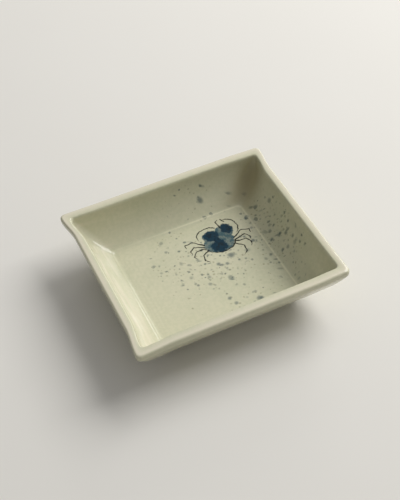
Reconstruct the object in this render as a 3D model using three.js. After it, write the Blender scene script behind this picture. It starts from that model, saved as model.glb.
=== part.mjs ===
// A square porcelain sauce dish: a press-moulded body on a low foot, under a clear glaze.
// Millimetres, +Z up. The origin is on the table, under the middle of the rim's outline.
// +X runs along the longer side, and -Y is the front.
import * as THREE from "three";

// The rim, measured over the glaze between the straight middles of its sides
const rimLength = 103;
const rimWidth = 94.5;
const height = 26;

// How far the potter drew each corner of the rim outwards, along X and along Y
const cornerDraw = {
  leftBack: [1.8, 0.25],
  rightBack: [1.3, -0.6],
  rightFront: [0.1, -0.4],
  leftFront: [1.5, 0.8],
};
const drawReach = 16; // along each side, from the corner to where the drawing-out begins

// The inside
const floorInsetX = 16.6; // from the rim's left and right sides in to the floor's edge
const floorInsetY = 15.55; // the same from its front and back
const floorThickness = 3.1; // with the glaze on it, down to the foot
const innerBow = 2.8; // how far the walls hollow out from a straight line between lip and floor

// The lip
const lipWidth = 4.3;
const lipInnerRound = 1.8;
const lipOuterRound = 1.6;
const lipSide = 2.9; // from the top of the lip down to where the outer wall turns inwards
const outerBow = 1.8; // how far the outer wall bulges from a straight line between lip and foot

// The foot, measured over its glaze
const footSetIn = 0.3; // from the floor's edge in to the foot's side
const footHeight = 2.3;
const footWall = 3.4;
const footChamfer = 0.5;

// The glaze, which is wiped off the part of the foot that stood on the kiln shelf
const glazeThickness = 0.3;
const wipedHeight = 0.9;

// Corner radii in plan
const rimCorner = 2.2;
const lipInnerCorner = 1.8;
const valleyCorner = 4.8; // half way down the inside, where the walls run softly into each other
const floorCorner = 2;
const footCorner = 5;

// How finely the curves are cut
const sideSteps = 5; // from the middle of a side to its corner
const cornerSteps = 5;
const wallSteps = 6;
const roundSteps = 2;

const porcelain = new THREE.MeshStandardMaterial({ color: 0xe4dccb, roughness: 0.75, metalness: 0 });
const clearGlaze = new THREE.MeshStandardMaterial({ color: 0xc8c4a2, roughness: 0.08, metalness: 0 });

const floorInset = [floorInsetX, floorInsetY];
const footInset = floorInset.map((inset) => inset + footSetIn);
const floorTop = footHeight + floorThickness;

// One side's section, from the floor's edge over the lip to the top of the foot.
// Each point holds its distance in from the rim's straight side, its height, the radius of its
// corners in plan and its share of the corners' drawing-out. axis is 0 for the sides that face
// along X and 1 for those that face along Y. skin is how deep below the glaze's surface it runs.
function sideSection(axis, skin) {
  const top = height - skin;
  const innerRound = Math.min(lipInnerRound, lipWidth / 2) - skin;
  const outerRound = Math.min(lipOuterRound, lipWidth / 2) - skin;

  const floorEdge = new THREE.Vector2(floorInset[axis] - skin / 2, floorTop - skin);
  const lipInner = new THREE.Vector2(lipWidth - skin, top);
  const lipOuter = new THREE.Vector2(skin, top);
  const lipUnder = new THREE.Vector2(skin, height - lipSide);
  const footTop = new THREE.Vector2(footInset[axis] + skin, footHeight);

  const innerBend = bowedMiddle(floorEdge, lipInner, innerBow);
  const outerBend = bowedMiddle(footTop, lipUnder, outerBow);
  const innerRoundStart = innerBend.clone().sub(lipInner).setLength(innerRound).add(lipInner);
  const innerRoundEnd = new THREE.Vector2(lipInner.x - innerRound, top);
  const outerRoundStart = new THREE.Vector2(lipOuter.x + outerRound, top);
  const outerRoundEnd = new THREE.Vector2(lipOuter.x, top - outerRound);

  const points = [];
  const add = (curve, steps, cornerAt, shareAt) => {
    curve.getPoints(steps).forEach((point, i) => {
      const t = i / steps;
      points.push({ inset: point.x, z: point.y, corner: cornerAt(t), share: shareAt(t) });
    });
  };
  const floorToLip = (t) => THREE.MathUtils.lerp(floorCorner, lipInnerCorner, t);
  const valley = (t) => floorToLip(t) + (valleyCorner - floorToLip(0.5)) * Math.sin(Math.PI * t) + skin;
  const rimToFoot = (t) => THREE.MathUtils.lerp(rimCorner, footCorner, t) - skin;
  const whole = () => 1;
  add(new THREE.QuadraticBezierCurve(floorEdge, innerBend, innerRoundStart), wallSteps, valley, (t) => t);
  points.pop();
  add(new THREE.QuadraticBezierCurve(innerRoundStart, lipInner, innerRoundEnd), roundSteps, () => valley(1), whole);
  add(new THREE.QuadraticBezierCurve(outerRoundStart, lipOuter, outerRoundEnd), roundSteps, () => rimToFoot(0), whole);
  add(new THREE.QuadraticBezierCurve(lipUnder, outerBend, footTop), wallSteps, rimToFoot, (t) => 1 - t);
  return points;
}

// The control point that bows a wall outwards and down, by so much at its middle
function bowedMiddle(low, high, bow) {
  const along = high.clone().sub(low).normalize();
  const outwards = new THREE.Vector2(-along.y, along.x).multiplyScalar(2 * bow);
  return low.clone().add(high).multiplyScalar(0.5).add(outwards);
}

// A level ring at a height, as far in as the foot's side and then further by extra
function footRing(extra, z) {
  return footInset.map((inset) => ({
    inset: inset + extra,
    z,
    corner: footCorner - extra,
    share: 0,
  }));
}

// The sections along both axes, point by point, for a skin below the glaze's surface
function sideRings(skin) {
  const alongX = sideSection(0, skin);
  const alongY = sideSection(1, skin);
  return alongX.map((point, i) => [point, alongY[i]]);
}

const ramp = (t) => THREE.MathUtils.smoothstep(t, 0, 1);

// Where a point of the rim's outline goes when its corner is drawn out
function drawnOut(x, y, half, corner, share) {
  const near = [x, y].map((v, i) => ramp((Math.abs(v) - half[i] + drawReach) / (drawReach - corner)));
  const name = (x < 0 ? "left" : "right") + (y < 0 ? "Front" : "Back");
  const amount = near[0] * near[1] * share;
  const [drawX, drawY] = cornerDraw[name];
  return [x + Math.sign(x) * drawX * amount, y + Math.sign(y) * drawY * amount];
}

// One ring round the dish, anticlockwise from the middle of its right side. It is a rectangle
// with round corners, and its height eases from one side's section to the next round each corner.
function ringPoints([acrossX, acrossY]) {
  const half = [rimLength / 2 - acrossX.inset, rimWidth / 2 - acrossY.inset];
  const corner = Math.min(acrossX.corner, half[0], half[1]);
  const quarter = [];
  for (let i = 0; i < sideSteps; i++) {
    const t = Math.sin((i / sideSteps) * (Math.PI / 2));
    quarter.push([half[0], t * (half[1] - corner), acrossX.z]);
  }
  for (let i = 0; i <= cornerSteps; i++) {
    const turn = (i / cornerSteps) * (Math.PI / 2);
    const z = THREE.MathUtils.lerp(acrossX.z, acrossY.z, i / cornerSteps);
    quarter.push([half[0] - corner * (1 - Math.cos(turn)), half[1] - corner * (1 - Math.sin(turn)), z]);
  }
  for (let i = sideSteps - 1; i > 0; i--) {
    const t = Math.sin((i / sideSteps) * (Math.PI / 2));
    quarter.push([t * (half[0] - corner), half[1], acrossY.z]);
  }
  quarter.push([0, half[1], acrossY.z]);

  const ring = [];
  for (const [signX, signY] of [[1, 1], [-1, 1], [-1, -1], [1, -1]]) {
    const run = signX * signY > 0 ? quarter : [...quarter].reverse();
    for (const [x, y, z] of run.slice(0, -1)) {
      const [outX, outY] = drawnOut(signX * x, signY * y, half, corner, acrossX.share);
      ring.push([outX, outY, z]);
    }
  }
  return ring;
}

// A closed mesh from a list of rings, each joined to the next. A list that starts or ends with a
// height closes there with a flat face; otherwise the last ring joins the first.
function loft(rings) {
  const startZ = typeof rings[0] === "number" ? rings.shift() : null;
  const endZ = typeof rings.at(-1) === "number" ? rings.pop() : null;
  const outlines = rings.map(ringPoints);
  const around = outlines[0].length;
  const points = outlines.flat().map((point) => new THREE.Vector3(...point));
  const index = [];
  const joined = startZ === null ? outlines.length : outlines.length - 1;
  for (let r = 0; r < joined; r++) {
    const next = (r + 1) % outlines.length;
    for (let i = 0; i < around; i++) {
      const j = (i + 1) % around;
      const [a, b, c, d] = [r * around + i, r * around + j, next * around + j, next * around + i];
      // The shorter diagonal, so that two skins over the same points fold the same way
      const alongAC = points[a].distanceTo(points[c]) < points[b].distanceTo(points[d]);
      index.push(...(alongAC ? [a, c, b, a, d, c] : [a, d, b, b, d, c]));
    }
  }
  for (const [z, ring, turn] of [[startZ, 0, 0], [endZ, outlines.length - 1, 1]]) {
    if (z === null) continue;
    const middle = points.push(new THREE.Vector3(0, 0, z)) - 1;
    for (let i = 0; i < around; i++) {
      const pair = [ring * around + i, ring * around + ((i + 1) % around)];
      index.push(middle, pair[turn], pair[1 - turn]);
    }
  }
  const geometry = new THREE.BufferGeometry().setFromPoints(points);
  geometry.setIndex(index);
  geometry.computeVertexNormals();
  return geometry;
}

function piece(name, rings, material) {
  const mesh = new THREE.Mesh(loft(rings), material);
  mesh.name = name;
  return mesh;
}

// The moulded floor and walls, bare, down to the flat underside that the foot is joined to
function porcelainBody() {
  const rings = [floorTop - glazeThickness, ...sideRings(glazeThickness), footHeight];
  return piece("porcelain_body", rings, porcelain);
}

// The square ring of clay joined under the floor. Its standing face is bare.
function footRingPiece() {
  const outer = glazeThickness;
  const rings = [
    footRing(footWall, footHeight),
    footRing(outer, footHeight),
    footRing(outer, wipedHeight),
    footRing(outer, footChamfer),
    footRing(outer + footChamfer, 0),
    footRing(footWall - footChamfer, 0),
    footRing(footWall, footChamfer),
    footRing(footWall, wipedHeight),
  ];
  return piece("foot_ring", rings, porcelain);
}

// Clear glaze over the inside, the lip, the outer walls and the foot's outer side
function glazeCoat() {
  const rings = [
    floorTop,
    ...sideRings(0),
    footRing(0, wipedHeight),
    footRing(glazeThickness, wipedHeight),
    ...sideRings(glazeThickness).reverse(),
    floorTop - glazeThickness,
  ];
  return piece("glaze_coat", rings, clearGlaze);
}

// Clear glaze inside the foot: over the underside of the floor and the foot's inner side
function baseGlaze() {
  const rings = [
    footHeight,
    footRing(footWall, footHeight),
    footRing(footWall, wipedHeight),
    footRing(footWall + glazeThickness, wipedHeight),
    footRing(footWall + glazeThickness, footHeight - glazeThickness),
    footHeight - glazeThickness,
  ];
  return piece("base_glaze", rings, clearGlaze);
}

const dish = new THREE.Group();
dish.add(porcelainBody(), footRingPiece(), glazeCoat(), baseGlaze());

// The corners are drawn out unevenly, so the dish is set with its outline's middle over the origin.
const middle = new THREE.Box3().setFromObject(dish).getCenter(new THREE.Vector3());
for (const mesh of dish.children) mesh.geometry.translate(-middle.x, -middle.y, 0);

export default dish;
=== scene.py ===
"""A small square porcelain sauce dish: its fine surfaces, its glaze and its painting under the glaze.

The dish's own axes hold everywhere: +X along the longer side, -Y the front, +Z up, in metres.
"""

import math
from functools import reduce

import bpy
import numpy as np
from mathutils import Matrix, Vector


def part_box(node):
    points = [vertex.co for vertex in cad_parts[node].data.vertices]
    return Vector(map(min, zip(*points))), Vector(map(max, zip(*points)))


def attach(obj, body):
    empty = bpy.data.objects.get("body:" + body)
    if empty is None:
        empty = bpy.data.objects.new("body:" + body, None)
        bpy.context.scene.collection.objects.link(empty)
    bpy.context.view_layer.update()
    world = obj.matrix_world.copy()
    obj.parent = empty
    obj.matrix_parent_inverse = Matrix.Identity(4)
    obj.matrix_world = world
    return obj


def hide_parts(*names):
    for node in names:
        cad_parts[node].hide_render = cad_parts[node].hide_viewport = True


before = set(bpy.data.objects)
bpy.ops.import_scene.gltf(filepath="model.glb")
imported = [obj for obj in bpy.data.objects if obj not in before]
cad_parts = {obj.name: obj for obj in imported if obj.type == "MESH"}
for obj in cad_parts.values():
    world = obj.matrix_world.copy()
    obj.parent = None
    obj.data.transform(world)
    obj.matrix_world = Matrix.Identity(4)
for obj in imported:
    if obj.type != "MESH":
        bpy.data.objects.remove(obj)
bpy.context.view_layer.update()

bl_info = {
    "name": "Sauce dish",
    "version": (1, 0, 0),
    "blender": (4, 5, 0),
    "location": "3D View > Sidebar > Dish",
    "description": "Makes a square porcelain sauce dish with a crab painted under its glaze",
    "category": "Add Mesh",
}

MM = 0.001


def srgb(red, green, blue):
    """A screen's colour, 0 to 255, as a linear colour."""
    shares = (value / 255 for value in (red, green, blue))
    return tuple(s / 12.92 if s <= 0.04045 else ((s + 0.055) / 1.055) ** 2.4 for s in shares)


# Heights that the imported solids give
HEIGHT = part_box("glaze_coat")[1].z
FOOT_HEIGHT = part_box("foot_ring")[1].z
WIPED_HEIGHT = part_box("glaze_coat")[0].z
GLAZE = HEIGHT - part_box("porcelain_body")[1].z


# Sizes and colours


def length(name, default, description):
    """A length in metres, whose default is given in millimetres."""
    return bpy.props.FloatProperty(
        name=name, description=description, default=default * MM, unit="LENGTH", precision=5
    )


def corner_draw(name, along_x, along_y):
    return bpy.props.FloatVectorProperty(
        name=name,
        description="How far the rim's corner is drawn out, along X and along Y",
        default=(along_x * MM, along_y * MM),
        size=2,
        unit="LENGTH",
        precision=5,
    )


def colour(name, default, description):
    """A linear colour, whose default is given as a screen's."""
    linear = srgb(*default)
    return bpy.props.FloatVectorProperty(
        name=name, description=description, default=linear, size=3, subtype="COLOR", min=0, max=1
    )


class DishSizes(bpy.types.PropertyGroup):
    """The dish's sizes."""

    rim_length: length("Rim length", 103, "Over the rim's straight sides, along X")
    rim_width: length("Rim width", 94.5, "Over the rim's straight sides, along Y")
    rim_corner: length("Rim corner", 2.2, "Radius of the rim's corners in plan")
    left_back: corner_draw("Left back corner", 1.8, 0.25)
    right_back: corner_draw("Right back corner", 1.3, -0.6)
    right_front: corner_draw("Right front corner", 0.1, -0.4)
    left_front: corner_draw("Left front corner", 1.5, 0.8)
    draw_reach: length("Draw reach", 16, "Along a side, from the corner to where it begins")

    floor_inset_x: length("Floor inset X", 16.6, "From the rim's left side to the floor's edge")
    floor_inset_y: length("Floor inset Y", 15.55, "From the rim's front to the floor's edge")
    floor_thickness: length("Floor thickness", 3.1, "With the glaze on it, down to the foot")
    floor_corner: length("Floor corner", 2, "Radius of the floor's corners in plan")
    crease_line: length("Crease line", 0.45, "From the middle of the crease's bead to its edge")
    crease_pool: length("Crease pool", 1.6, "From the crease to where the glaze has thinned out")
    crease_round: length("Crease round", 2, "How far the crease round the floor is rounded")
    crease_bead: length("Crease bead", 0.08, "How far the crease's bead of glaze stands up")
    inner_bow: length("Inner bow", 2.8, "How far the walls are hollowed out")
    valley_corner: length("Valley corner", 4.8, "Corner radius half way down the inside")

    lip_width_x: length("Lip width, left and right", 4.3, "Across the lip of those two sides")
    lip_width_y: length("Lip width, front and back", 5, "Across the lip of those two sides")
    lip_inner_round: length("Lip inner round", 1, "How far the lip is rounded inside")
    lip_inner_roll: length("Lip inner roll", 2.2, "How far down the wall that round runs")
    lip_outer_round: length("Lip outer round", 1.3, "How far the lip is rounded outside")
    lip_inner_corner: length("Lip inner corner", 1.8, "Corner radius of the lip inside")
    lip_side: length("Lip side", 2.9, "From the lip's top to where the outer wall turns in")
    outer_bow: length("Outer bow", 1.8, "How far the outer wall bulges")

    foot_set_in: length("Foot set in", 0.3, "From the floor's edge in to the foot's side")
    foot_wall: length("Foot wall", 3.4, "Thickness of the foot's wall, over its glaze")
    foot_edge: length("Foot edge", 0.5, "Radius of the foot's two standing edges")
    foot_corner: length("Foot corner", 5, "Radius of the foot's corners in plan")

    ripple_pitch: length("Ripple pitch", 2.05, "Between the forming ripples on the floor")
    ripple_height: length("Ripple height", 0.035, "From a ripple's trough to its crest")
    ripple_reach: length("Ripple reach", 16, "How far in from the floor's edge ripples fade")
    waviness: length("Waviness", 0.11, "How uneven the fired glaze lies")
    wave_length: length("Wave length", 17, "From one swell of the glaze to the next")
    # How far the painted shade round the right back valley reaches
    valley_shade_reach: length("Pool reach", 8, "How far the glaze pooled round the right back valley")
    wipe_pitch: length("Wipe pitch", 2.4, "Between the wiping lines along the walls")
    wipe_length: length("Wipe length", 26, "How far a wiping line runs on")
    wipe_height: length("Wipe height", 0.08, "How far the wiping lines stand up")


class DishColours(bpy.types.PropertyGroup):
    """The dish's colours."""

    glaze: colour("Glaze", (203, 200, 173), "The clear glaze over grey porcelain")
    glaze_pooled: colour("Pooled glaze", (190, 191, 162), "Where the glaze lies thick")
    # A painted highlight: the pale line along the glaze's bead in the crease round the floor
    crease_highlight: colour("Bead of glaze", (236, 231, 200), "Along the crease round the floor")
    # Painted shade: the darker glaze colour in the right back valley
    valley_shade: colour("Deep glaze", (167, 158, 124), "Where the glaze ran together deepest")
    # Thin glaze where it drew off an edge, and also the colour of the painted highlight streaks along the
    # left wall's wiping lines
    thin_glaze_and_sheen: colour("Thin glaze", (219, 211, 191), "Where the glaze drew off an edge")
    porcelain: colour("Bare porcelain", (214, 205, 188), "Unglazed fired porcelain")
    toasted: colour("Toasted edge", (190, 160, 126), "Bare porcelain beside the glaze")
    cobalt_pale: colour("Pale cobalt", (64, 91, 96), "A thin wash of cobalt")
    cobalt_full: colour("Full cobalt", (5, 46, 63), "A full brush of cobalt")
    cobalt_deep: colour("Deep cobalt", (1, 31, 43), "Where the cobalt stood in a pool")
    spatter: colour("Spatter", (38, 70, 80), "The blown drops")
    specks: colour("Specks", (112, 105, 78), "The finest blown dots")
    iron: colour("Iron", (20, 24, 20), "The brush lines")


# The dish's shape


def bezier(start, bend, end, steps):
    """Points along a curve from start to end that leaves towards bend and arrives from it."""
    t = np.linspace(0, 1, steps + 1)[:, None]
    start, bend, end = (np.array(p) for p in (start, bend, end))
    return (1 - t) ** 2 * start + 2 * t * (1 - t) * bend + t**2 * end


def unit(vector):
    return vector / np.linalg.norm(vector)


def bowed_middle(low, high, bow):
    """The bend that bows a wall from low to high outwards and down, by bow at its middle."""
    low, high = np.array(low), np.array(high)
    along = unit(high - low)
    return (low + high) / 2 + 2 * bow * np.array([-along[1], along[0]])


def softened(points, passes):
    """A curve's points after each has moved a few times towards its neighbours' middle."""
    for _ in range(passes):
        points[1:-1] = (points[:-2] + 2 * points[1:-1] + points[2:]) / 4
    return points


def smooth_ramp(t):
    t = np.clip(t, 0, 1)
    return t * t * (3 - 2 * t)


def side_section(sizes, axis, skin, fine):
    """One side's section from the floor's edge over the lip to the foot, below the glaze by skin.

    Each row is the distance in from the rim's side, the height, the corners' radius in plan and
    the share of the corners' drawing-out. fine multiplies the number of points.
    """
    floor_inset = (sizes.floor_inset_x, sizes.floor_inset_y)[axis]
    floor_top = FOOT_HEIGHT + sizes.floor_thickness
    top = HEIGHT - skin
    lip_width = (sizes.lip_width_x, sizes.lip_width_y)[axis]
    inner_round = min(sizes.lip_inner_round, lip_width / 2) - skin
    outer_round = min(sizes.lip_outer_round, lip_width / 2) - skin

    floor_edge = (floor_inset - skin / 2, floor_top - skin)
    lip_inner = np.array([lip_width - skin, top])
    lip_under = (skin, HEIGHT - sizes.lip_side)
    foot_top = (floor_inset + sizes.foot_set_in + skin, FOOT_HEIGHT)
    inner_bend = bowed_middle(floor_edge, lip_inner, sizes.inner_bow)
    outer_bend = bowed_middle(foot_top, lip_under, sizes.outer_bow)
    inner_start = lip_inner + unit(inner_bend - lip_inner) * (sizes.lip_inner_roll - skin)

    wall = bezier(floor_edge, inner_bend, inner_start, 14 * fine)
    inner_roll = bezier(inner_start, lip_inner, (lip_inner[0] - inner_round, top), 4 * fine)
    inside = softened(np.vstack([wall[:-1], inner_roll]), fine * 2)
    wall, inner_roll = np.split(inside, [len(wall) - 1])
    outer_roll = bezier((skin + outer_round, top), (skin, top), (skin, top - outer_round), 4 * fine)
    outside = bezier(lip_under, outer_bend, foot_top, 12 * fine)

    def along(points, corner, share):
        t = np.linspace(0, 1, len(points))
        return np.column_stack([points, corner(t), share(t)])

    def valley(t):
        ends = (sizes.floor_corner, sizes.lip_inner_corner)
        bulge = sizes.valley_corner - sum(ends) / 2
        return np.interp(t, (0, 1), ends) + bulge * np.sin(np.pi * t) + skin

    def rim_to_foot(t):
        return np.interp(t, (0, 1), (sizes.rim_corner, sizes.foot_corner)) - skin

    return np.vstack(
        [
            along(wall, valley, lambda t: t),
            along(inner_roll, lambda t: valley(1 + 0 * t), np.ones_like),
            along(outer_roll, lambda t: rim_to_foot(0 * t), np.ones_like),
            along(outside, rim_to_foot, lambda t: 1 - t),
        ]
    )


def side_rings(sizes, skin, fine):
    """The two axes' sections, ring by ring."""
    sections = [side_section(sizes, axis, skin, fine) for axis in (0, 1)]
    return list(zip(*sections))


def level_ring(sizes, extra, z, corner):
    """A ring at one height, in from the floor's edge by extra, and not drawn out."""
    insets = (sizes.floor_inset_x, sizes.floor_inset_y)
    return [np.array([inset + extra, z, corner, 0]) for inset in insets]


def foot_line(sizes, extra, z):
    """A level ring in from the foot's side by extra."""
    return level_ring(sizes, sizes.foot_set_in + extra, z, sizes.foot_corner - extra)


def ring_points(sizes, ring, side_steps, corner_steps):
    """One ring round the dish as points, from the middle of its right side, anticlockwise."""
    across_x, across_y = ring
    half_x = sizes.rim_length / 2 - across_x[0]
    half_y = sizes.rim_width / 2 - across_y[0]
    corner = min(across_x[2], half_x, half_y)
    side = np.sin(np.arange(side_steps) / side_steps * math.pi / 2)
    along = np.pad(side, (0, side_steps + corner_steps + 1), constant_values=1)
    ease = np.pad(np.linspace(0, 1, corner_steps + 1), side_steps, mode="edge")
    turn = ease * math.pi / 2
    x = (half_x - corner * (1 - np.cos(turn))) * along[::-1]
    y = (half_y - corner * (1 - np.sin(turn))) * along
    z = across_x[1] + (across_y[1] - across_x[1]) * ease
    quarter = np.column_stack([x, y, z])

    signs = ((1, 1), (-1, 1), (-1, -1), (1, -1))
    draws = (sizes.right_back, sizes.left_back, sizes.left_front, sizes.right_front)
    reach = sizes.draw_reach
    near = smooth_ramp((quarter[:, :2] - [half_x, half_y] + reach) / (reach - corner)).prod(1)
    runs = []
    for (sign_x, sign_y), draw in zip(signs, draws):
        points = quarter.copy()
        points[:, :2] += near[:, None] * across_x[3] * np.array(draw)
        points[:, :2] *= (sign_x, sign_y)
        run = points if sign_x * sign_y > 0 else points[::-1]
        runs.append(run[:-1])
    return np.vstack(runs)


class Surface:
    """A lofted surface: its rings from end to end, with a number at each point for each mark."""

    def __init__(self, sizes, side_steps, corner_steps):
        self.sizes = sizes
        self.steps = (side_steps, corner_steps)
        self.rings = []
        names = ("outside", "from_edge", "up_wall", "wiped", "pooled", "deep", "crease")
        self.marks = {name: [] for name in names}
        rim_line = np.array([0, HEIGHT, sizes.rim_corner, 1])
        rim = self.points((rim_line, rim_line))
        self.middle = (rim.min(0) + rim.max(0)) / 2 * (1, 1, 0)

    def points(self, ring):
        return ring_points(self.sizes, ring, *self.steps)

    def add(self, ring, **marks):
        points = self.points(ring) - self.middle
        self.rings.append(points)
        for name, values in self.marks.items():
            values.append(np.broadcast_to(marks.get(name, 0), len(points)))

    def right_back_valley(self, ring, reach):
        """Round a ring, 1 at its right back corner, falling off over a reach."""
        points = self.points(ring)
        side_steps, corner_steps = self.steps
        gap = np.linalg.norm(points - points[side_steps + corner_steps // 2], axis=1)
        return np.exp(-((gap / reach) ** 2))

    def left_side(self, ring):
        """Round a ring, 1 along its left side and 0 over the right two thirds of the dish."""
        x = self.points(ring)[:, 0]
        return smooth_ramp(x / x.min() * 3 - 2)

    def unrolled(self, first, top):
        """The rings laid out flat, unrolled straight outwards from ring first towards ring top."""
        points = np.array(self.rings)
        flat = points * (1, 1, 0)
        outwards = flat[top] - flat[first]
        outwards /= np.linalg.norm(outwards, axis=1)[:, None]
        run = np.linalg.norm(np.diff(points[first:], axis=0), axis=2).cumsum(0)
        flat[first + 1 :] = flat[first] + outwards * run[:, :, None]
        return flat

    def mesh(self, name, start_z, end_z, flat=None):
        """The closed mesh, with a cap over the first and over the last ring."""
        rings, around, _ = np.shape(self.rings)
        points = np.vstack([*self.rings, [(0, 0, start_z), (0, 0, end_z)]])
        points[-2:] -= self.middle
        first = np.arange(around)
        after = (first + 1) % around
        row = np.arange(rings - 1)[:, None] * around
        quads = np.stack([row + first, row + around + first, row + around + after, row + after], -1)
        start, end = len(points) - 2, len(points) - 1
        last = (rings - 1) * around
        caps = [(start, a, b) for a, b in zip(first, after)]
        caps += [(end, last + b, last + a) for a, b in zip(first, after)]

        mesh = bpy.data.meshes.new(name)
        mesh.from_pydata(points.tolist(), [], quads.reshape(-1, 4).tolist() + caps)
        for mark, values in self.marks.items():
            spread = np.concatenate([*values, values[0][:1], values[-1][:1]])
            attribute = mesh.attributes.new(mark, "FLOAT", "POINT")
            attribute.data.foreach_set("value", spread.astype(np.float32))
        if flat is not None:
            laid = np.vstack([*flat, flat[0].mean(0), flat[-1].mean(0)])
            attribute = mesh.attributes.new("unrolled", "FLOAT_VECTOR", "POINT")
            attribute.data.foreach_set("vector", laid.astype(np.float32).ravel())
        return mesh


FLOOR_ROUNDS = 0.4  # how much rounder a ring's corners grow, for each step in over the floor
FLOOR_STEP = 0.32 * MM  # between the rings on the floor
FLOOR_MIDDLE = 0.6 * MM  # from the floor's middle line to the innermost of them
CREASE_STEPS = 20
CREASE_POOLED = 0.5
LIP_CROWN = 1.5 * MM  # from the rim's side in to where the glaze is thinnest
CROWN_REACH = 0.9 * MM  # how far the thin glaze reaches from there


def glaze_coat_surface(sizes):
    """The clear glaze over the inside, the lip, the outer wall and the foot's outer side.

    Its marks: outside is 1 where the glaze shows, and crease along the crease, where a highlight
    is painted. from_edge is how far in from the crease a point lies, and up_wall how far up.
    pooled is above 0 where the glaze ran together and below 0 where it is thin. The valley mark
    is 1 in the right back valley, where shade is painted, and the wiping mark is 1 half way up the
    left wall, where the wiping lines stand up and highlight streaks are painted along them.
    """
    surface = Surface(sizes, side_steps=30, corner_steps=10)
    floor_top = FOOT_HEIGHT + sizes.floor_thickness
    half_width = sizes.rim_width / 2 - sizes.floor_inset_y
    rounding = sizes.crease_round
    section = side_rings(sizes, skin=0, fine=4)
    across = np.array([ring[0][:2] for ring in section])
    run = np.append(0, np.linalg.norm(np.diff(across, axis=0), axis=1).cumsum())
    nearly_top = HEIGHT - 0.01 * MM
    lip_top = int(np.argmax(across[:, 1] > nearly_top))

    def bead(distance):
        return math.exp(-((distance / sizes.crease_line) ** 2))

    def pool(distance):
        return CREASE_POOLED * math.exp(-distance / sizes.crease_pool)

    def add_to_wall(ring, distance, pooled):
        up_wall = max(distance, 0)
        on_wall = math.sin(math.pi * min(up_wall / run[lip_top], 1))
        # Painted shade for the right back valley, and the band of the left wall where the wiping lines
        # and the painted highlight streaks lie
        deep = surface.right_back_valley(ring, sizes.valley_shade_reach) * on_wall**0.5
        marks = {"up_wall": up_wall, "deep": deep, "wiped": surface.left_side(ring) * on_wall}
        surface.add(ring, outside=1, pooled=pooled, crease=bead(distance), **marks)

    # The floor, from its middle out to where the crease begins
    for inwards in np.arange(half_width - FLOOR_MIDDLE, rounding, -FLOOR_STEP):
        corner = min(sizes.floor_corner + FLOOR_ROUNDS * inwards, half_width - inwards)
        ring = level_ring(sizes, inwards, floor_top, corner)
        marks = {"from_edge": inwards - rounding, "pooled": pool(inwards), "crease": bead(inwards)}
        surface.add(ring, outside=1, **marks)
    crease_start = len(surface.rings)

    # The crease, rounded into the bottom of the wall, with a thin bead of glaze along it
    wall_start = int(np.argmax(run > rounding))
    to_floor = [rounding, 0, FLOOR_ROUNDS * rounding, 0]
    curves = [
        bezier(edge + to_floor, edge, on_wall, CREASE_STEPS)
        for edge, on_wall in zip(section[0], section[wall_start])
    ]
    for i in range(CREASE_STEPS):
        distance = (2 * i / CREASE_STEPS - 1) * rounding
        lift = [0, sizes.crease_bead * bead(distance), 0, 0]
        add_to_wall([curve[i] + lift for curve in curves], distance, pool(abs(distance)))

    # The wall, the lip and the outer wall. The glaze is thin along the lip's crown.
    lip_top_ring = len(surface.rings) + lip_top - wall_start
    for i in range(wall_start, len(section)):
        inset, height = across[i]
        pooled = pool(run[i]) if i < lip_top else 0
        if height > HEIGHT - sizes.lip_side:
            pooled -= math.exp(-(((inset - LIP_CROWN) / CROWN_REACH) ** 2))
        add_to_wall(section[i], run[i], pooled)

    # The foot's side, the glaze's rounded lower edge, and its hidden back
    edge_round = GLAZE / 2
    for z in np.linspace(FOOT_HEIGHT, WIPED_HEIGHT + edge_round, 5)[1:]:
        surface.add(foot_line(sizes, 0, z), outside=1)
    for turn in np.linspace(0, math.pi / 2, 4)[1:]:
        z = WIPED_HEIGHT + edge_round * (1 - math.sin(turn))
        surface.add(foot_line(sizes, edge_round * (1 - math.cos(turn)), z), pooled=-1)
    surface.add(foot_line(sizes, GLAZE, WIPED_HEIGHT))
    for ring in reversed(side_rings(sizes, GLAZE, fine=1)):
        surface.add(ring)
    flat = surface.unrolled(crease_start, lip_top_ring)
    return surface.mesh("clear_glaze_over_dish", floor_top, floor_top - GLAZE, flat)


def porcelain_surface(sizes):
    """The moulded floor and walls under the glaze, down to the flat underside."""
    surface = Surface(sizes, side_steps=12, corner_steps=6)
    for ring in side_rings(sizes, GLAZE, fine=2):
        surface.add(ring)
    floor_top = FOOT_HEIGHT + sizes.floor_thickness - GLAZE
    return surface.mesh("moulded_porcelain", floor_top, FOOT_HEIGHT)


def base_glaze_surface(sizes):
    """The clear glaze inside the foot, on the floor's underside and on the foot's inner side."""
    surface = Surface(sizes, side_steps=16, corner_steps=8)
    wall = sizes.foot_wall
    underside = FOOT_HEIGHT - GLAZE
    hollow = 0.7 * MM
    edge_round = GLAZE / 2
    step = 1.5 * MM
    least_corner = 1 * MM
    surface.add(foot_line(sizes, wall, FOOT_HEIGHT))
    surface.add(foot_line(sizes, wall, WIPED_HEIGHT))
    for turn in np.linspace(0, math.pi / 2, 4):
        out = wall + GLAZE - edge_round * (1 - math.sin(turn))
        z = WIPED_HEIGHT + edge_round * (1 - math.cos(turn))
        surface.add(foot_line(sizes, out, z), outside=1, pooled=-1)
    for turn in np.linspace(0, math.pi / 2, 7):
        inwards = wall + GLAZE + hollow * (1 - math.cos(turn))
        z = underside - hollow * (1 - math.sin(turn))
        surface.add(foot_line(sizes, inwards, z), outside=1, pooled=1)
    deepest = sizes.rim_width / 2 - sizes.floor_inset_y - sizes.foot_set_in
    for inwards in np.arange(wall + GLAZE + hollow + step, deepest - least_corner, step):
        corner = min(least_corner + FLOOR_ROUNDS * (inwards - wall), deepest - inwards)
        surface.add(level_ring(sizes, sizes.foot_set_in + inwards, underside, corner), outside=1)
    return surface.mesh("glaze_under_floor", FOOT_HEIGHT, underside)


# Node trees


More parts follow.
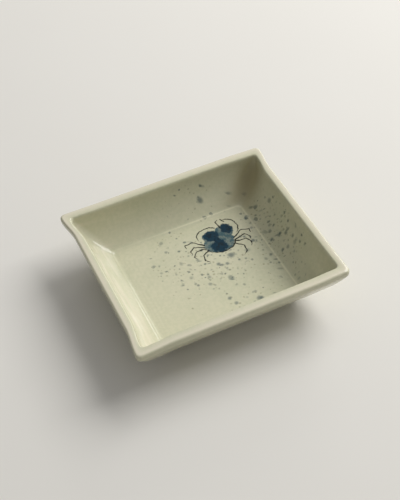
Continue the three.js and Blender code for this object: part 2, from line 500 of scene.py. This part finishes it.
class Value:
    """A node's output. Arithmetic on it adds Math nodes, or Vector Math nodes where it is a vector."""

    def __init__(self, graph, socket):
        self.graph = graph
        self.socket = socket

    @property
    def is_vector(self):
        return self.socket.type in ("VECTOR", "RGBA")

    def math(self, operation, *values, clamp=False):
        inputs = dict(enumerate(values))
        return self.graph.add("ShaderNodeMath", inputs, operation=operation, use_clamp=clamp)

    def vector_math(self, operation, inputs, output=0):
        return self.graph.add("ShaderNodeVectorMath", inputs, output, operation=operation)

    def combine(self, operation, first, second):
        if self.is_vector:
            return self.vector_math(operation, {0: first, 1: second})
        return self.math(operation, first, second)

    def __add__(self, other):
        return self.combine("ADD", self, other)

    def __sub__(self, other):
        return self.combine("SUBTRACT", self, other)

    def __rsub__(self, other):
        return self.combine("SUBTRACT", other, self)

    def __mul__(self, other):
        if self.is_vector:
            return self.vector_math("SCALE", {0: self, "Scale": other})
        return self.math("MULTIPLY", self, other)

    def __truediv__(self, other):
        return self.math("DIVIDE", self, other)

    def __rtruediv__(self, other):
        return self.math("DIVIDE", other, self)

    def clamped(self):
        return self.math("ADD", self, 0, clamp=True)

    def lowest(self, other):
        return self.math("MINIMUM", self, other)

    def highest(self, other):
        return self.math("MAXIMUM", self, other)

    def cosine(self):
        return self.math("COSINE", self)

    def dot(self, other):
        return self.vector_math("DOT_PRODUCT", {0: self, 1: other}, "Value")

    def length(self):
        return self.vector_math("LENGTH", {0: self}, "Value")

    def times(self, other):
        return self.vector_math("MULTIPLY", {0: self, 1: other})

    def over(self, low, high):
        """0 below low and 1 above high, with a soft step between. low may be above high."""
        inputs = {"Value": self, "From Min": low, "From Max": high}
        return self.graph.add("ShaderNodeMapRange", inputs, interpolation_type="SMOOTHSTEP")


class Graph:
    """A node tree, and the one method that adds any node to it."""

    def __init__(self, tree):
        self.tree = tree

    def add(self, kind, inputs=None, output=0, **settings):
        node = self.tree.nodes.new(kind)
        for name, setting in settings.items():
            setattr(node, name, setting)
        for key, value in (inputs or {}).items():
            if isinstance(value, Value):
                self.tree.links.new(value.socket, node.inputs[key])
            else:
                node.inputs[key].default_value = value
        if node.outputs:
            return Value(self, node.outputs[output])

    def mixed(self, share, first, second):
        """A colour between two, by a share from 0 to 1."""
        factor, colour_a, colour_b, result = 0, 6, 7, 2
        first, second = (end if isinstance(end, Value) else (*end, 1) for end in (first, second))
        inputs = {factor: share, colour_a: first, colour_b: second}
        return self.add("ShaderNodeMix", inputs, result, data_type="RGBA", clamp_factor=True)

    def mark(self, name, output="Fac"):
        """What a mesh holds for each of its points under a mark's name."""
        return self.add("ShaderNodeAttribute", {}, output, attribute_name=name)

    def noise(self, vector, scale, detail=2, output="Fac"):
        """A noise from 0 to 1: a higher scale makes it closer, and a higher detail more ragged."""
        inputs = {"Vector": vector, "Scale": scale, "Detail": detail}
        return self.add("ShaderNodeTexNoise", inputs, output)

    def millimetres(self, vector, centre=(0, 0, 0)):
        """A place in metres, as millimetres from a centre that is in metres too."""
        inputs = {"Vector": vector, "Location": centre, "Scale": (MM, MM, MM)}
        return self.add("ShaderNodeMapping", inputs, vector_type="TEXTURE")


def empty_graph(owner):
    """The emptied node tree of a material or a world."""
    owner.use_nodes = True
    owner.node_tree.nodes.clear()
    return Graph(owner.node_tree)


def new_material(name):
    material = bpy.data.materials.new(name)
    return material, empty_graph(material)


def finish_material(graph, colour_value, roughness, normal=None, **constants):
    """Ends a material in the Principled shader, with constants set on its own sockets."""
    inputs = {"Base Color": colour_value, "Roughness": roughness, **constants}
    if normal is not None:
        inputs["Normal"] = normal
    shader = graph.add("ShaderNodeBsdfPrincipled", inputs)
    graph.add("ShaderNodeOutputMaterial", {"Surface": shader})


# The painting


def stroke(point, start, end, start_radius, end_radius):
    """How far a point lies outside a tapering brush stroke, below 0 inside it, in millimetres."""
    start, end = Vector((*start, 0)), Vector((*end, 0))
    along = end - start
    offset = point - start
    t = offset.dot(along / along.length_squared).clamped()
    across = offset - t.vector_math("SCALE", {0: along, "Scale": t})
    return across.length() - (t * (end_radius - start_radius) + start_radius)


def nearest_of(distances):
    return reduce(Value.lowest, distances)


def brushed_line(point, corners, radii):
    """The distance outside a line of strokes through corners, with the brush's radius at each."""
    parts = zip(corners, corners[1:], radii, radii[1:])
    return nearest_of([stroke(point, *part) for part in parts])


def arc_points(centre, radii, start, end, steps):
    """Points along an arc of an ellipse, from the start angle to the end angle in degrees."""
    turns = [math.radians(start + (end - start) * i / steps) for i in range(steps + 1)]
    return [(centre[0] + radii[0] * math.cos(a), centre[1] + radii[1] * math.sin(a)) for a in turns]


def leg_points(root, turns, lengths):
    """A jointed leg's corners: each of its parts leaves the last in its own direction, in degrees."""
    points = [root]
    for turn, run in zip(turns, lengths):
        x, y = points[-1]
        points.append((x + run * math.cos(math.radians(turn)), y + run * math.sin(math.radians(turn))))
    return points


# The crab, in millimetres from the middle of its back, with +Y towards its claws. A BRUSH holds the
# brush's radius at each point of its LINE.
CRAB_PLACE = Vector((15.1 * MM, 14 * MM, 0))
BACK_RADII = (8, 6.2)
SHELL_LINE = arc_points((0, -0.1), (8.2, 6.4), 196, 346, 7)
SHELL_BRUSH = np.linspace(0.16, 0.42, len(SHELL_LINE)).tolist()
LEFT_CLAW_LINE = arc_points((-3, 6.8), (5.9, 4.7), 38, 192, 6)
LEFT_CLAW_BRUSH = (0.34, 0.3, 0.28, 0.26, 0.26, 0.28, 0.12)
RIGHT_CLAW_LINE = arc_points((8.2, 7.2), (4.6, 5.9), 96, -58, 6)
RIGHT_CLAW_BRUSH = (0.14, 0.3, 0.34, 0.3, 0.28, 0.25, 0.14)
PINCER_LINES = [[(4.6, 8.8), (3.9, 13.2), (5.3, 14.2)], [(7, 13.9), (7.8, 11.7)]]
PINCER_BRUSH = (0.34, 0.3, 0.16)
LEG_ROOTS = [(7.6, -0.4), (8.2, -1.7), (7.9, -2.9), (6.9, -4.2)]
LEG_TURNS = [(30, -20, -96), (12, -50, -112), (-8, -64, -128), (-44, -94, -142)]
LEG_PARTS = [(6.3, 4, 2), (5, 3.4, 1.9), (4.8, 3.8, 2.2), (4.2, 3.7, 2.4)]
LEG_BRUSH = (0.4, 0.28, 0.31, 0.12)
LEFT_LEG_RISE = 2  # the left legs begin this much nearer to the claws
LEFT_LEG_LIFT = 14  # and each of their parts turns by so many degrees towards them
DARK_BLOTS = [
    ((-2.1, 5.6), (3.9, 3.7)),
    ((6.9, 6.9), (3, 3.5)),
    ((-1, -2.2), (4.1, 4.1)),
    ((-0.6, 2), (2, 2.4)),
]
PALE_BLOTS = [((0, -0.2), BACK_RADII), ((-2.2, 5), (4.6, 4)), ((5, 5.4), (4.6, 4.6))]

# The blown drops, in millimetres from the dish's middle. A cloud has a centre, radii and a density.
CLOUDS = [
    ((2, 4), (36, 25), 1),
    ((43, 3), (22, 36), 1.05),
    ((16, 42), (26, 15), 0.33),
    ((8, -22), (30, 17), 0.45),
    ((-6, 20), (16, 16), 0.55),
]
SPATTER_END = (22 * MM, 19 * MM)  # up the wall, with none of the spatter left and with all of it
FLICK = math.radians(-25)  # the way the brush was flicked, from +X
# Each cell of a layer's pattern holds a drop at most, and share is the share of those that do
FINE_DROPS = dict(shift=(3.7, 5.2, 0), cell=2, radii=(0.22, 0.5), share=0.6, strength=0.5)
DROP_LAYERS = [
    dict(shift=(7.3, 2.1, 0), cell=3, radii=(0.32, 1), share=0.5, strength=0.68),
    dict(shift=(1.9, 8.4, 0), cell=3, radii=(0.28, 0.75), share=0.25, strength=0.65, stretch=2.4),
    dict(shift=(0, 0, 0), cell=4.4, radii=(0.5, 1.5), share=0.42, strength=0.72),
]
BIG_DROP_STRENGTH = 0.5
BIG_DROPS = [
    ((15.6, 32.2), (1.15, 1)),
    ((19.6, 32.7), (0.9, 0.85)),
    ((34.4, 22.8), (1.3, 1.1)),
    ((37.6, 18.6), (0.9, 1.3)),
    ((33, 26.4), (0.8, 0.7)),
]


def crab_lines(point):
    """The distance outside the crab's brush lines."""
    lines = [
        brushed_line(point, SHELL_LINE, SHELL_BRUSH),
        brushed_line(point, LEFT_CLAW_LINE, LEFT_CLAW_BRUSH),
        brushed_line(point, RIGHT_CLAW_LINE, RIGHT_CLAW_BRUSH),
    ]
    lines += [brushed_line(point, line, PINCER_BRUSH) for line in PINCER_LINES]
    for root, turns, parts in zip(LEG_ROOTS, LEG_TURNS, LEG_PARTS):
        lines.append(brushed_line(point, leg_points(root, turns, parts), LEG_BRUSH))
        left_root = (-root[0], root[1] + LEFT_LEG_RISE)
        left_turns = [180 - turn - LEFT_LEG_LIFT for turn in turns]
        lines.append(brushed_line(point, leg_points(left_root, left_turns, parts), LEG_BRUSH))
    return nearest_of(lines)


def radii_from(place, centre, radii):
    """How far a place lies from an ellipse's centre, counted in the ellipse's radii."""
    shares = Vector((1 / radii[0], 1 / radii[1], 0))
    return (place - Vector((*centre, 0))).times(shares).length()


def blots(point, places, ragged):
    """How far a point lies outside the nearest of several ragged blots, counted in its radii."""
    return nearest_of([radii_from(point, *blot) - 1 for blot in places]) + ragged


def shaken(graph, point, scale, reach):
    """A place moved a little, by up to about reach, as an unsteady hand would."""
    way = graph.noise(point, scale, 2, "Color") - Vector((0.5, 0.5, 0.5))
    return point + way.times(Vector((4 * reach, 4 * reach, 0)))


def wiping_lines(graph, up_wall, place, pitch, run):
    """A noise that is drawn out into lines along the walls."""
    row = graph.add("ShaderNodeCombineXYZ", {"X": up_wall / pitch})
    return graph.noise(row + place * (1 / run), 1, 1)


def crab_painting(graph, under, flat, colours):
    """The crab painted on a colour: a pale wash, dark blots in it, and brush lines over both."""
    point = graph.millimetres(flat, CRAB_PLACE)
    grain = graph.noise(point, 1.1, 2)
    lobes = graph.noise(point, 0.4, 1) - 0.5
    fringe = graph.noise(point, 1.1, 3) - 0.5
    drawn = shaken(graph, shaken(graph, point, 0.35, 0.35), 2.2, 0.05)

    wash = blots(point, PALE_BLOTS, lobes * 0.4 + fringe * 0.12)
    thin_wash = graph.noise(point, 0.33, 2).over(0.58, 0.42)
    wash_strength = wash.over(0.04, -0.06) * (grain * 0.4 + thin_wash * 0.2 + 0.6)
    dark = blots(point, DARK_BLOTS, lobes * 0.8 + fringe * 0.7)
    dark_strength = dark.over(0.12, -0.14) * (grain * 0.1 + 0.92)
    pool = (0 - dark).over(0.1, 0.5) * graph.noise(point, 0.4, 1).over(0.42, 0.56)
    cobalt = graph.mixed(pool, colours.cobalt_full, colours.cobalt_deep)
    lines = crab_lines(drawn).over(0.1, -0.1) * (grain * 0.3 + 0.8)

    painted = graph.mixed(wash_strength, under, colours.cobalt_pale)
    painted = graph.mixed(dark_strength, painted, cobalt)
    return graph.mixed(lines, painted, colours.iron)


def drops(graph, place, density, shift, cell, radii, share, strength, stretch=1):
    """A layer of drops as a mask, each drop with a size and a strength of its own."""
    scale = (cell * stretch, cell, 1)
    inputs = {"Vector": place + Vector(shift), "Rotation": (0, 0, FLICK), "Scale": scale}
    turned = graph.add("ShaderNodeMapping", inputs, vector_type="TEXTURE")
    distance, chance = (
        graph.add("ShaderNodeTexVoronoi", {"Vector": turned, "Scale": 1}, output, voronoi_dimensions="2D")
        for output in ("Distance", "Color")
    )
    size, presence, own_strength = (
        graph.add("ShaderNodeSeparateColor", {"Color": chance}, i) for i in range(3)
    )
    smallest, largest = radii
    radius = size * size * (largest - smallest) + smallest
    mask = (distance * cell / radius).over(1.7, 0.35)
    present = (density * share - presence).over(0, 0.02)
    return mask * present * (own_strength * 0.6 + 0.4) * strength


def spatter(graph, under, flat, up_wall, colours):
    """Cobalt blown and flicked on from a brush, thickest in a few clouds, and none on the lip."""
    place = graph.millimetres(flat)
    clouds = [radii_from(place, *ellipse).over(1, 0.35) * most for *ellipse, most in CLOUDS]
    patches = graph.noise(place, 0.09, 2).over(0.36, 0.56) * 0.55 + 0.45
    density = reduce(Value.highest, clouds) * patches * up_wall.over(*SPATTER_END)
    place = shaken(graph, place, 0.7, 0.2)
    spots = blots(place, BIG_DROPS, graph.noise(place, 1, 2) - 0.5).over(0.1, -0.1)
    painted = graph.mixed(drops(graph, place, density, **FINE_DROPS), under, colours.specks)
    painted = graph.mixed(spots * BIG_DROP_STRENGTH, painted, colours.spatter)
    for layer in DROP_LAYERS:
        painted = graph.mixed(drops(graph, place, density, **layer), painted, colours.spatter)
    return painted


# The materials

GLAZE_IOR = 1.42
GLAZE_UNEVENNESS = 0.005 * MM  # how far its surface is out of true, close to
CREASE_HIGHLIGHT_FADE = (-25 * MM, 15 * MM)  # along X, where the painted highlight along the crease's bead is faintest and strongest
GRIT_HEIGHT = 0.04 * MM
TOASTED_HEIGHT = 0.55  # how far below the glaze's edge the bare foot is toasted, in millimetres


def glaze_material(name, sizes, colours, painted):
    """Glossy clear glaze: paler where it drew off an edge, greener where it ran together.

    With painted set, it also has painted shade in the right back valley, a painted highlight
    along the crease and painted highlight streaks along the left wall's wiping lines.
    """
    material, graph = new_material(name)
    bare_place = graph.add("ShaderNodeTexCoord", {}, "Object")
    place = graph.millimetres(bare_place)
    pooled = graph.mark("pooled")
    cloudy = graph.noise(place, 0.045, 3)
    fine = graph.noise(place, 0.9, 3)
    mottled = graph.noise(place, 0.6, 5).over(0.4, 0.6)

    greener = pooled.clamped() * 0.6 + cloudy.over(0.42, 0.7) * 0.4 + mottled * 0.38
    body = graph.mixed(greener, colours.glaze, colours.glaze_pooled)
    paler = (0 - pooled).clamped() * 0.8 + fine * 0.08
    body = graph.mixed(paler, body, colours.thin_glaze_and_sheen)
    if painted:
        up_wall = graph.mark("up_wall")
        flat = graph.mark("unrolled", "Vector")
        # Painted shade in the right back valley
        body = graph.mixed(graph.mark("deep"), body, colours.valley_shade)
        # Painted highlight streaks, in the thin glaze's paler colour, along the wiping lines on the left
        # wall
        lines = wiping_lines(graph, up_wall, bare_place, sizes.wipe_pitch, sizes.wipe_length)
        wiped = lines.over(0.5, 0.7) * graph.mark("wiped") * 0.75
        body = graph.mixed(wiped, body, colours.thin_glaze_and_sheen)
        body = spatter(graph, body, flat, up_wall, colours)
        body = crab_painting(graph, body, flat, colours)
        # A painted highlight along the crease's bead, faint on the left and strongest on the right
        to_right = graph.add("ShaderNodeSeparateXYZ", {"Vector": flat}).over(*CREASE_HIGHLIGHT_FADE)
        crease_highlight_share = graph.mark("crease") * cloudy.over(0.2, 0.5) * (to_right * 0.43 + 0.12)
        body = graph.mixed(crease_highlight_share, body, colours.crease_highlight)
    roughness = graph.noise(place, 0.12, 2) * 0.06 + 0.045
    uneven = {"Height": graph.noise(place, 0.5, 2), "Strength": 1, "Distance": GLAZE_UNEVENNESS}
    bump = graph.add("ShaderNodeBump", uneven)
    finish_material(graph, body, roughness, bump, IOR=GLAZE_IOR)
    return material


def porcelain_material(colours):
    """Bare fired porcelain: matt and a little gritty, toasted where it meets the glaze."""
    material, graph = new_material("bare_porcelain")
    place = graph.millimetres(graph.add("ShaderNodeTexCoord", {}, "Object"))
    height = graph.add("ShaderNodeSeparateXYZ", {"Vector": place}, "Z")
    cloudy = graph.noise(place, 0.15, 4)
    grit = graph.noise(place, 4, 4)
    ragged = height + (cloudy - 0.5) * 0.5
    glaze_edge = WIPED_HEIGHT / MM
    toasted = ragged.over(glaze_edge - TOASTED_HEIGHT, glaze_edge)
    body = graph.mixed(toasted * 0.7 + cloudy * 0.2, colours.porcelain, colours.toasted)
    roughness = grit * 0.15 + 0.68
    bump = graph.add("ShaderNodeBump", {"Height": grit, "Strength": 0.5, "Distance": GRIT_HEIGHT})
    finish_material(graph, body, roughness, bump)
    return material


# Geometry node trees


def new_geometry_tree(name, numbers):
    """A geometry tree with named number inputs, after its geometry input."""
    tree = bpy.data.node_groups.new(name, "GeometryNodeTree")
    tree.interface.new_socket("Geometry", in_out="INPUT", socket_type="NodeSocketGeometry")
    for number in numbers:
        tree.interface.new_socket(number, in_out="INPUT", socket_type="NodeSocketFloat")
    tree.interface.new_socket("Geometry", in_out="OUTPUT", socket_type="NodeSocketGeometry")
    graph = Graph(tree)
    group_input = tree.nodes.new("NodeGroupInput")
    given = {socket.name: Value(graph, socket) for socket in group_input.outputs if socket.name}
    return graph, given


def end_tree(graph, geometry, material):
    """Ends a geometry tree in Realize Instances and Set Material."""
    real = graph.add("GeometryNodeRealizeInstances", {"Geometry": geometry})
    dressed = graph.add("GeometryNodeSetMaterial", {"Geometry": real, "Material": material})
    graph.add("NodeGroupOutput", {"Geometry": dressed})


# The names of the sizes that the glaze's tree takes as its inputs
RIPPLE_INPUTS = ("ripple_pitch", "ripple_height", "ripple_reach", "waviness", "wave_length")
RIPPLE_INPUTS += ("wipe_pitch", "wipe_length", "wipe_height")


def ripple_tree(material):
    """Presses the forming ripples into the floor, and lets the glaze lie a little unevenly."""
    graph, given = new_geometry_tree("glaze_ripples", RIPPLE_INPUTS)
    outside, from_edge, up_wall, wiped = (
        graph.add("GeometryNodeInputNamedAttribute", {"Name": name}, data_type="FLOAT")
        for name in ("outside", "from_edge", "up_wall", "wiped")
    )
    turns = from_edge / given["ripple_pitch"]
    ripple = (turns * math.tau).cosine() * 0.5 - 0.5
    fade = 1 - (from_edge / given["ripple_reach"]).clamped() * 0.75
    height = ripple * fade * turns.clamped() * given["ripple_height"]
    lift = graph.add("ShaderNodeCombineXYZ", {"Z": height})
    rippled = graph.add("GeometryNodeSetPosition", {"Geometry": given["Geometry"], "Offset": lift})

    place = graph.add("GeometryNodeInputPosition")
    swell = graph.noise(place, 1 / given["wave_length"], 1)
    lines = wiping_lines(graph, up_wall, place, given["wipe_pitch"], given["wipe_length"])
    depth = swell * given["waviness"] * outside + lines * wiped * given["wipe_height"]
    sink = graph.add("GeometryNodeInputNormal") * (0 - depth)
    wavy = graph.add("GeometryNodeSetPosition", {"Geometry": rippled, "Offset": sink})
    end_tree(graph, wavy, material)
    return graph.tree


def foot_tree(material):
    """Sweeps the foot's section, which is the input mesh's outline, round a rectangle."""
    graph, given = new_geometry_tree("foot_sweep", ("length", "width", "corner"))
    sides = {"Width": given["length"], "Height": given["width"]}
    rectangle = graph.add("GeometryNodeCurvePrimitiveQuadrilateral", sides)
    rounding = {"Curve": rectangle, "Radius": given["corner"], "Count": 12}
    path = graph.add("GeometryNodeFilletCurve", rounding, mode="POLY")
    section = graph.add("GeometryNodeMeshToCurve", {"Mesh": given["Geometry"]})
    swept = graph.add("GeometryNodeCurveToMesh", {"Curve": path, "Profile Curve": section})
    end_tree(graph, swept, material)
    return graph.tree


def shaped_by(piece, tree, **numbers):
    """Runs a geometry tree on a piece, and keeps the result as its plain mesh."""
    modifier = piece.modifiers.new(tree.name, "NODES")
    modifier.node_group = tree
    for item in tree.interface.items_tree:
        if item.in_out == "INPUT" and item.name in numbers:
            modifier[item.identifier] = numbers[item.name]
    bpy.context.view_layer.update()
    depsgraph = bpy.context.evaluated_depsgraph_get()
    shaped = bpy.data.meshes.new_from_object(piece.evaluated_get(depsgraph), depsgraph=depsgraph)
    piece.modifiers.clear()
    piece.data = shaped


# The pieces

SHARP_ANGLE = math.radians(40)  # an edge that turns by more than this stays sharp


def new_piece(name, data):
    """A new object in the scene, a piece of the dish or of the stage."""
    piece = bpy.data.objects.new(name, data)
    bpy.context.scene.collection.objects.link(piece)
    return piece


def finish_piece(piece, node, material=None):
    """Smooths a piece except at its sharp edges, hangs it under the root, and hides the imported part it
    takes the place of.
    """
    if material is not None:
        piece.data.materials.append(material)
    piece.data.shade_smooth()
    piece.data.set_sharp_from_angle(angle=SHARP_ANGLE)
    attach(piece, "root")
    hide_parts(node)


class DISH_OT_porcelain_body(bpy.types.Operator):
    """Make the moulded porcelain floor and walls"""

    bl_idname = "dish.porcelain_body"
    bl_label = "Porcelain body"

    def execute(self, context):
        piece = new_piece("moulded_porcelain", porcelain_surface(context.scene.dish_sizes))
        material = porcelain_material(context.scene.dish_colours)
        finish_piece(piece, "porcelain_body", material)
        return {"FINISHED"}


class DISH_OT_foot_ring(bpy.types.Operator):
    """Make the square foot that is joined under the floor"""

    bl_idname = "dish.foot_ring"
    bl_label = "Foot ring"

    def execute(self, context):
        sizes = context.scene.dish_sizes
        low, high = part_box("foot_ring")
        wall = sizes.foot_wall - GLAZE
        edge = sizes.foot_edge
        across = wall / 2 - edge
        section = [(-wall / 2, FOOT_HEIGHT), (wall / 2, FOOT_HEIGHT)]
        section += arc_points((across, edge), (edge, edge), 0, -90, 5)
        section += arc_points((-across, edge), (edge, edge), -90, -180, 5)
        mesh = bpy.data.meshes.new("foot_section")
        loop = [(i, (i + 1) % len(section)) for i in range(len(section))]
        mesh.from_pydata([(x, -z, 0) for x, z in section], loop, [])
        piece = new_piece("joined_foot", mesh)
        shaped_by(
            piece,
            foot_tree(porcelain_material(context.scene.dish_colours)),
            length=high.x - low.x - wall,
            width=high.y - low.y - wall,
            corner=sizes.foot_corner - GLAZE - wall / 2,
        )
        piece.data.transform(Matrix.Translation(((low.x + high.x) / 2, (low.y + high.y) / 2, 0)))
        finish_piece(piece, "foot_ring")
        return {"FINISHED"}


class DISH_OT_glaze_coat(bpy.types.Operator):
    """Make the clear glaze over the dish, with the painting under it"""

    bl_idname = "dish.glaze_coat"
    bl_label = "Painting and glaze"

    def execute(self, context):
        sizes = context.scene.dish_sizes
        piece = new_piece("clear_glaze_over_dish", glaze_coat_surface(sizes))
        material = glaze_material("painted_glaze", sizes, context.scene.dish_colours, True)
        numbers = {name: getattr(sizes, name) for name in RIPPLE_INPUTS}
        shaped_by(piece, ripple_tree(material), **numbers)
        finish_piece(piece, "glaze_coat")
        return {"FINISHED"}


class DISH_OT_base_glaze(bpy.types.Operator):
    """Make the clear glaze inside the foot"""

    bl_idname = "dish.base_glaze"
    bl_label = "Glaze inside the foot"

    def execute(self, context):
        sizes = context.scene.dish_sizes
        piece = new_piece("glaze_under_floor", base_glaze_surface(sizes))
        material = glaze_material("base_glaze", sizes, context.scene.dish_colours, False)
        finish_piece(piece, "base_glaze", material)
        return {"FINISHED"}


# The stage


def direction(azimuth, elevation):
    """The way to a place in the sky, from degrees. The azimuth is from +X towards the back."""
    azimuth, elevation = math.radians(azimuth), math.radians(elevation)
    level = math.cos(elevation)
    return Vector((math.cos(azimuth) * level, math.sin(azimuth) * level, math.sin(elevation)))


CAMERA_AZIMUTH = -22.36  # degrees from straight in front, above 0 to the right
CAMERA_ELEVATION = 47.34
CAMERA_ROLL = -3.87
CAMERA_DISTANCE = 484.55 * MM
CAMERA_AIM = Vector((-1.95 * MM, -1.75 * MM, 23.5 * MM))
CAMERA_LENS = 75.6  # in millimetres, like the next
CAMERA_SENSOR = 36  # the picture's height
CAMERA_CLIP = (0.01, 20)
LIGHT_DISTANCE = 1.4
WINDOW_WAY = direction(16, 43)
WINDOW_SIZE = (1.1, 0.8)
WINDOW_WATTS = 19
SLIT_WAY = direction(48, 20)
SLIT_SIZE = (0.5, 0.3)
SLIT_WATTS = 2
SKY_STRENGTH = (0.19, 0.41)  # away from the window, and towards it
SKY_FADE = (-0.7, 0.9)  # between these cosines of the angle from the window
BACKDROP_STRENGTH = 0.86  # of the room behind the table, as the camera sees it
TABLE_COLOUR = srgb(221, 218, 211)
TABLE_SIZE = 8


def table_material():
    """A plain pale table top."""
    material, graph = new_material("pale_table")
    place = graph.add("ShaderNodeTexCoord", {}, "Object")
    body = graph.mixed(graph.noise(place, 9, 3) * 0.08, TABLE_COLOUR, (1, 1, 1))
    finish_material(graph, body, 0.9, **{"Specular IOR Level": 0.2})
    return material


def sky_world():
    """A white room that is lighter on the window's side."""
    world = bpy.data.worlds.new("sky")
    graph = empty_graph(world)
    way = graph.add("ShaderNodeTexCoord", {}, "Generated")
    towards = way.dot(WINDOW_WAY).over(*SKY_FADE)
    dim, bright = SKY_STRENGTH
    lighting = towards * (bright - dim) + dim
    seen = graph.add("ShaderNodeLightPath", {}, "Is Camera Ray")
    strength = lighting + seen * (BACKDROP_STRENGTH - lighting)
    background = graph.add("ShaderNodeBackground", {"Color": (1, 1, 1, 1), "Strength": strength})
    graph.add("ShaderNodeOutputWorld", {"Surface": background})
    return world


def add_light(name, way, size, watts):
    """An area light that faces the dish from a direction."""
    lamp = bpy.data.lights.new(name, "AREA")
    lamp.shape = "RECTANGLE"
    lamp.size, lamp.size_y = size
    lamp.energy = watts
    light = new_piece(name, lamp)
    light.location = way * LIGHT_DISTANCE
    light.rotation_euler = way.to_track_quat("Z", "Y").to_euler()


class DISH_OT_stage(bpy.types.Operator):
    """Make the pale table, the room's light, the two lamps and the camera"""

    bl_idname = "dish.stage"
    bl_label = "Stage"

    def execute(self, context):
        scene = context.scene
        table = bpy.data.meshes.new("table")
        half = TABLE_SIZE / 2
        corners = [(-half, -half, 0), (half, -half, 0), (half, half, 0), (-half, half, 0)]
        table.from_pydata(corners, [], [(0, 1, 2, 3)])
        table.materials.append(table_material())
        new_piece("table", table)

        add_light("window", WINDOW_WAY, WINDOW_SIZE, WINDOW_WATTS)
        add_light("slit", SLIT_WAY, SLIT_SIZE, SLIT_WATTS)
        scene.world = sky_world()

        right = direction(CAMERA_AZIMUTH, 0)
        back = direction(CAMERA_AZIMUTH - 90, CAMERA_ELEVATION)
        upright = Matrix((right, back.cross(right), back)).transposed()
        rolled = upright @ Matrix.Rotation(math.radians(CAMERA_ROLL), 3, "Z")
        camera = bpy.data.cameras.new("camera")
        camera.lens = CAMERA_LENS
        camera.sensor_width = CAMERA_SENSOR
        camera.clip_start, camera.clip_end = CAMERA_CLIP
        viewer = new_piece("camera", camera)
        place = Matrix.Translation(CAMERA_AIM + back * CAMERA_DISTANCE)
        viewer.matrix_world = place @ rolled.to_4x4()
        scene.camera = viewer
        scene.view_settings.view_transform = "Standard"
        return {"FINISHED"}


class DISH_PT_panel(bpy.types.Panel):
    """The dish's pieces, sizes and colours"""

    bl_idname = "DISH_PT_panel"
    bl_label = "Sauce dish"
    bl_space_type = "VIEW_3D"
    bl_region_type = "UI"
    bl_category = "Dish"

    def draw(self, context):
        layout = self.layout
        for operator in STEPS:
            layout.operator(operator.bl_idname)
        for group in (context.scene.dish_sizes, context.scene.dish_colours):
            box = layout.box()
            for name in group.__annotations__:
                box.prop(group, name)


STEPS = (
    DISH_OT_porcelain_body,
    DISH_OT_foot_ring,
    DISH_OT_glaze_coat,
    DISH_OT_base_glaze,
    DISH_OT_stage,
)
CLASSES = (DishSizes, DishColours, *STEPS, DISH_PT_panel)


def register():
    for made in CLASSES:
        bpy.utils.register_class(made)
    bpy.types.Scene.dish_sizes = bpy.props.PointerProperty(type=DishSizes)
    bpy.types.Scene.dish_colours = bpy.props.PointerProperty(type=DishColours)


def unregister():
    del bpy.types.Scene.dish_colours
    del bpy.types.Scene.dish_sizes
    for made in reversed(CLASSES):
        bpy.utils.unregister_class(made)


def main():
    register()
    bpy.ops.dish.porcelain_body()
    bpy.ops.dish.foot_ring()
    bpy.ops.dish.glaze_coat()
    bpy.ops.dish.base_glaze()
    bpy.ops.dish.stage()


if __name__ == "__main__":
    main()
